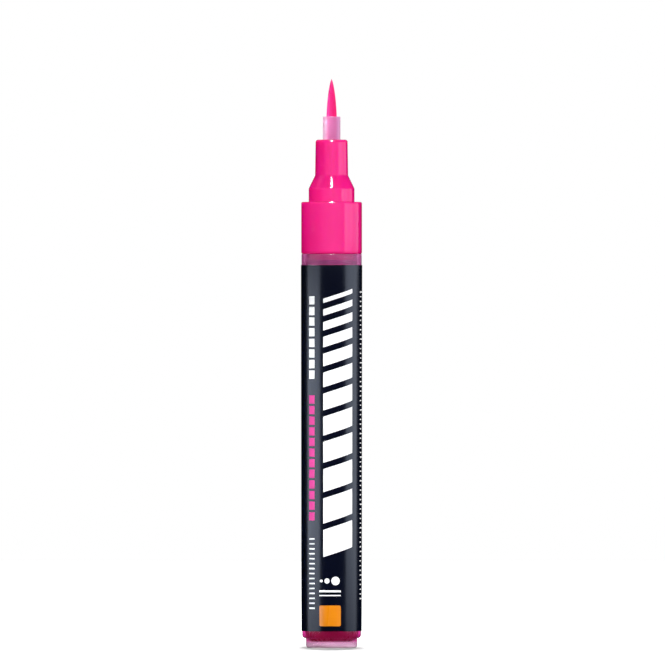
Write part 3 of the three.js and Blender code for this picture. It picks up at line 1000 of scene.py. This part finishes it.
def make_brush():
    """A close core, and hairs that run up it side by side and draw in to a point."""
    length = BRUSH_TOP - SLEEVE_TOP
    profile = [(0, TAIL_END), (FIBRE_RADIUS * CORE_SHARE, TAIL_END)]
    for i in range(CORE_STEPS):
        share = 1 - (1 - i / CORE_STEPS) ** CORE_CROWD
        profile.append((CORE_SHARE * brush_radius(share), SLEEVE_TOP + share * length * CORE_END))
    profile.append((0, SLEEVE_TOP + length * CORE_END))
    parts = [lathe(profile, CORE_ROUND)]
    draw = random.Random(HAIR_SEED)
    golden = math.pi * (3 - math.sqrt(5))
    for i in range(HAIRS):
        inner = INNERMOST + (1 - INNERMOST) * math.sqrt((i + 0.5) / HAIRS)
        angle = golden * i
        end = 1 - HAIR_SHORT * inner * draw.random() ** 2
        path, radii = [], []
        for k in range(HAIR_STEPS + 1):
            t = k / HAIR_STEPS
            share = 1 - (1 - t * end) ** HAIR_CROWD
            height = SLEEVE_TOP + share * length
            spread = inner * max(brush_radius(share) - HAIR_RADIUS, 0.0)
            sway = HAIR_SWAY * math.sin(HAIR_WAVE * share + angle * HAIR_PHASE)
            path.append((spread * math.cos(angle + sway), spread * math.sin(angle + sway), height))
            radii.append(HAIR_RADIUS * (1 - (1 - HAIR_TIP) * t**HAIR_TAPER))
        root = (path[0][0], path[0][1], SLEEVE_TOP - HAIR_ROOT)
        parts.append(tube([root] + path, [HAIR_RADIUS] + radii, HAIR_SIDES))
    brush = make_object("brush_hairs", *gather(*parts), sharp=HAIR_SHARP)
    dress(brush, MATERIALS["brush_fibre"], "nib", "brush_fibre", "brush_nib")


def make_rod():
    edge_radius = FIBRE_RADIUS - ROD_EDGE
    profile = [(0, ROD_BOTTOM)]
    profile += bend(edge_radius, ROD_BOTTOM + ROD_EDGE, ROD_EDGE, -90, 0, TINY_STEPS)
    profile += bend(edge_radius, TAIL_END - ROD_EDGE, ROD_EDGE, 0, 90, TINY_STEPS)
    profile += [(0, TAIL_END)]
    rod = make_object("feed_rod_fibre", *lathe(profile, SMALL_ROUND))
    dress(rod, MATERIALS["rod_fibre"], "nib", "rod_fibre", "feed_rod")


# Valve and mixing ball


def make_spring():
    """A coil whose turns crowd at both ends."""
    path = []
    steps = COIL_TURNS * COIL_STEPS
    bottom, top = SPRING_LOW + WIRE_RADIUS, SPRING_HIGH - WIRE_RADIUS
    for i in range(steps + 1):
        t = i / steps
        angle = TURN * COIL_TURNS * t
        rise = t - COIL_CROWD * math.sin(TURN * t) / TURN
        height = bottom + rise * (top - bottom)
        path.append((COIL_RADIUS * math.cos(angle), COIL_RADIUS * math.sin(angle), height))
    spring = make_object("spring_coil", *tube(path, [WIRE_RADIUS] * len(path), WIRE_SIDES))
    dress(spring, MATERIALS["spring_steel"], "section", "spring_steel", "valve_spring")
    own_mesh(spring)


def make_ball():
    middle = (BALL_LOW + BALL_HIGH) / 2
    profile = bend(0, middle, BALL_RADIUS, -90, 90, BALL_STEPS)
    profile[0], profile[-1] = (0, BALL_LOW), (0, BALL_HIGH)
    ball = make_object("mixing_ball_steel", *lathe(profile, SMALL_ROUND))
    dress(ball, MATERIALS["ball_steel"], "mixing_ball", "ball_steel", "mixing_ball")


def dress_valve():
    """These nodes keep their CAD shape."""
    for node in ("valve_housing", "valve_cage", "valve_plunger"):
        paint_with(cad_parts[node], MATERIALS["white_plastic"])
    paint_with(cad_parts["valve_seat"], MATERIALS["seat_rubber"])


# Studio

# The picture: its width in pixels, the millimetres in one, and the pixels to the axis and the foot
FRAME_PX = 665
PX_SIZE = 0.2121
AXIS_PX = 331.6
FOOT_PX = 647.5

# Camera: sensor and distance in millimetres, and the clip range in metres
SENSOR = 36
CAMERA_FAR = 4000.0
CLIP_START = 0.1
CLIP_END = 30

# Floor, in metres. It keeps the shadow up to GLOW_START and is white from GLOW_FULL on, in an oval
# that SHADOW_PINCH makes narrower from side to side
FLOOR_HALF = 1.5
GLOW_START = 0.03
GLOW_FULL = 0.07
SHADOW_PINCH = 4.8
FLOOR_GREY = 0.85
FLOOR_BOUNCE = 0.25

# World: the ceiling starts and is full at these heights on a sphere of radius 1
CEILING_START = 0.6
CEILING_FULL = 0.9
FILL = 0.1

WHITE = grey(1.0)
COOL = (0.8, 0.87, 1.0)

# Soft boxes that only show in reflections: azimuth, distance, width, bottom, top, radiance
# and spread, in degrees and metres. Azimuth 0 is the camera's side and 90 the right.
PANELS = {
    "box_right": (82, 0.3, 0.3, 0.0, 0.0795, 2.75, 180),
    "box_right_high": (68, 0.3, 0.19, 0.084, 0.124, 3.4, 180),
    "box_right_side": (104, 0.3, 0.2, 0.084, 0.124, 2.3, 180),
    "box_front_high": (5, 0.02, 0.086, 0.083, 0.1125, 0.7, 130),
    "box_left": (-73, 0.25, 0.27, 0.0, 0.078, 3.9, 180),
    "box_left_high": (-70, 0.25, 0.3, 0.13, 0.3, 0.8, 180),
}

# Narrow beams, with the same values, that each light their own part of the height
BEAMS = {
    "beam_low": (-50, 0.08, 0.05, 0.004, 0.073, 0.9, 25),
    "beam_high": (-65, 0.04, 0.03, 0.1085, 0.13, 0.7, 12),
    "beam_collar": (-78, 0.08, 0.06, 0.0842, 0.106, 1.1, 36),
    "beam_sleeve": (-88, 0.04, 0.02, 0.1082, 0.1121, 2.2, 10),
}

# Lamps that face the marker's upper half: azimuth, elevation, distance, width, height, radiance
KEY = (38, 15, 1.4, 0.9, 0.9, 10.0)
SPARK = (0, 52, 0.7, 0.09, 0.24, 140.0)
RIM = (0, 75, 0.7, 0.12, 0.3, 350.0)
BACK = (180, 70, 0.8, 0.1, 0.1, 240.0)
LAMP_TARGET = Vector((0, 0, 0.1))


def make_camera():
    """A level view from the front, so far away that it shows almost no perspective."""
    camera = bpy.data.objects.new("camera", bpy.data.cameras.new("camera"))
    bpy.context.scene.collection.objects.link(camera)
    bpy.context.scene.camera = camera
    half = FRAME_PX * PX_SIZE / 2
    camera.data.sensor_width = SENSOR
    camera.data.lens = SENSOR / 2 * CAMERA_FAR / half
    camera.data.clip_start = CLIP_START
    camera.data.clip_end = CLIP_END
    side = (FRAME_PX / 2 - AXIS_PX) * PX_SIZE
    height = (FOOT_PX - FRAME_PX / 2) * PX_SIZE
    camera.location = Vector((side, -CAMERA_FAR, height)) * MM
    camera.rotation_euler = (math.pi / 2, 0, 0)


def add_light(name, width, height, radiance, place, facing):
    """A rectangular lamp of a given radiance, which the camera sees neither directly nor through
    clear pieces."""
    light = bpy.data.lights.new(name, "AREA")
    light.shape = "RECTANGLE"
    light.size, light.size_y = width, height
    light.energy = radiance * math.pi * width * height
    obj = bpy.data.objects.new(name, light)
    obj.location = place
    obj.rotation_euler = facing.to_track_quat("-Z", "Y").to_euler()
    obj.visible_camera = False
    obj.visible_transmission = False
    bpy.context.scene.collection.objects.link(obj)
    return obj


def upright(name, azimuth, distance, width, bottom, top, radiance, spread):
    """An upright soft box that faces the marker."""
    a = math.radians(azimuth)
    way = Vector((math.sin(a), -math.cos(a), 0))
    place = distance * way + Vector((0, 0, (bottom + top) / 2))
    box = add_light(name, width, top - bottom, radiance, place, -way)
    box.data.spread = math.radians(spread)
    return box


def panel(*values):
    """A cool soft box that only shows in reflections."""
    box = upright(*values)
    box.data.color = COOL
    box.visible_diffuse = False


def beam(*values):
    """A narrow beam that doesn't show in reflections."""
    box = upright(*values)
    box.visible_glossy = False


def lamp(name, azimuth, elevation, distance, width, height, radiance, glossy=True, diffuse=True):
    """A soft box that faces the marker's upper half."""
    a, e = math.radians(azimuth), math.radians(elevation)
    way = Vector((math.sin(a) * math.cos(e), -math.cos(a) * math.cos(e), math.sin(e)))
    box = add_light(name, width, height, radiance, LAMP_TARGET + distance * way, -way)
    box.visible_glossy = glossy
    box.visible_diffuse = diffuse


def make_floor():
    """White round about for the camera. Near the foot the lamps light it, so it keeps the shadow."""
    s = FLOOR_HALF
    mesh = bpy.data.meshes.new("floor")
    mesh.from_pydata([(-s, -s, 0), (s, -s, 0), (s, s, 0), (-s, s, 0)], [], [(0, 1, 2, 3)])
    floor = bpy.data.objects.new("floor", mesh)
    bpy.context.scene.collection.objects.link(floor)
    g = Graph(bpy.data.materials.new("floor"))
    place = g.split(g.place())
    away = g.length(g.math("MULTIPLY", place["X"], SHADOW_PINCH), place["Y"])
    glow = g.span(away, GLOW_START, GLOW_FULL, 0.0, 1.0)
    seen = g.math("MULTIPLY", glow, g.ray("Is Camera Ray"))
    g.set(
        Base_Color=g.mix(g.ray("Is Diffuse Ray"), grey(FLOOR_GREY), grey(FLOOR_BOUNCE)),
        Roughness=0.9,
        Specular_IOR_Level=0.0,
        Emission_Color=WHITE,
        Emission_Strength=g.math("MAXIMUM", seen, g.ray("Is Transmission Ray")),
    )
    mesh.materials.append(g.owner)
    floor.visible_glossy = False


def make_world():
    """White for the camera and through clear pieces, soft grey for the light all round,
    and a white ceiling in reflections."""
    world = bpy.data.worlds.new("studio")
    bpy.context.scene.world = world
    g = Graph(world, "Background")
    z = g.split(g.place("Generated"))["Z"]
    ceiling = g.span(z, CEILING_START, CEILING_FULL, 0.0, 1.0, "SMOOTHSTEP")
    seen = g.math("MAXIMUM", g.ray("Is Camera Ray"), g.ray("Is Transmission Ray"))
    soft = g.math("MULTIPLY", g.ray("Is Diffuse Ray"), FILL)
    shine = g.math("MULTIPLY", g.ray("Is Glossy Ray"), ceiling)
    g.set(Color=WHITE, Strength=g.math("MAXIMUM", g.math("MAXIMUM", seen, soft), shine))


def make_studio():
    for name, values in PANELS.items():
        panel(name, *values)
    for name, values in BEAMS.items():
        beam(name, *values)
    lamp("key", *KEY, glossy=False)
    lamp("spark", *SPARK, diffuse=False)
    lamp("rim", *RIM, diffuse=False)
    lamp("back", *BACK)
    make_floor()
    make_world()
    bpy.context.scene.view_settings.view_transform = "Standard"


make_camera()
make_barrel()
make_paint()
make_label()
make_section()
make_seal()
make_sleeve()
make_brush()
make_rod()
make_spring()
make_ball()
dress_valve()
make_studio()
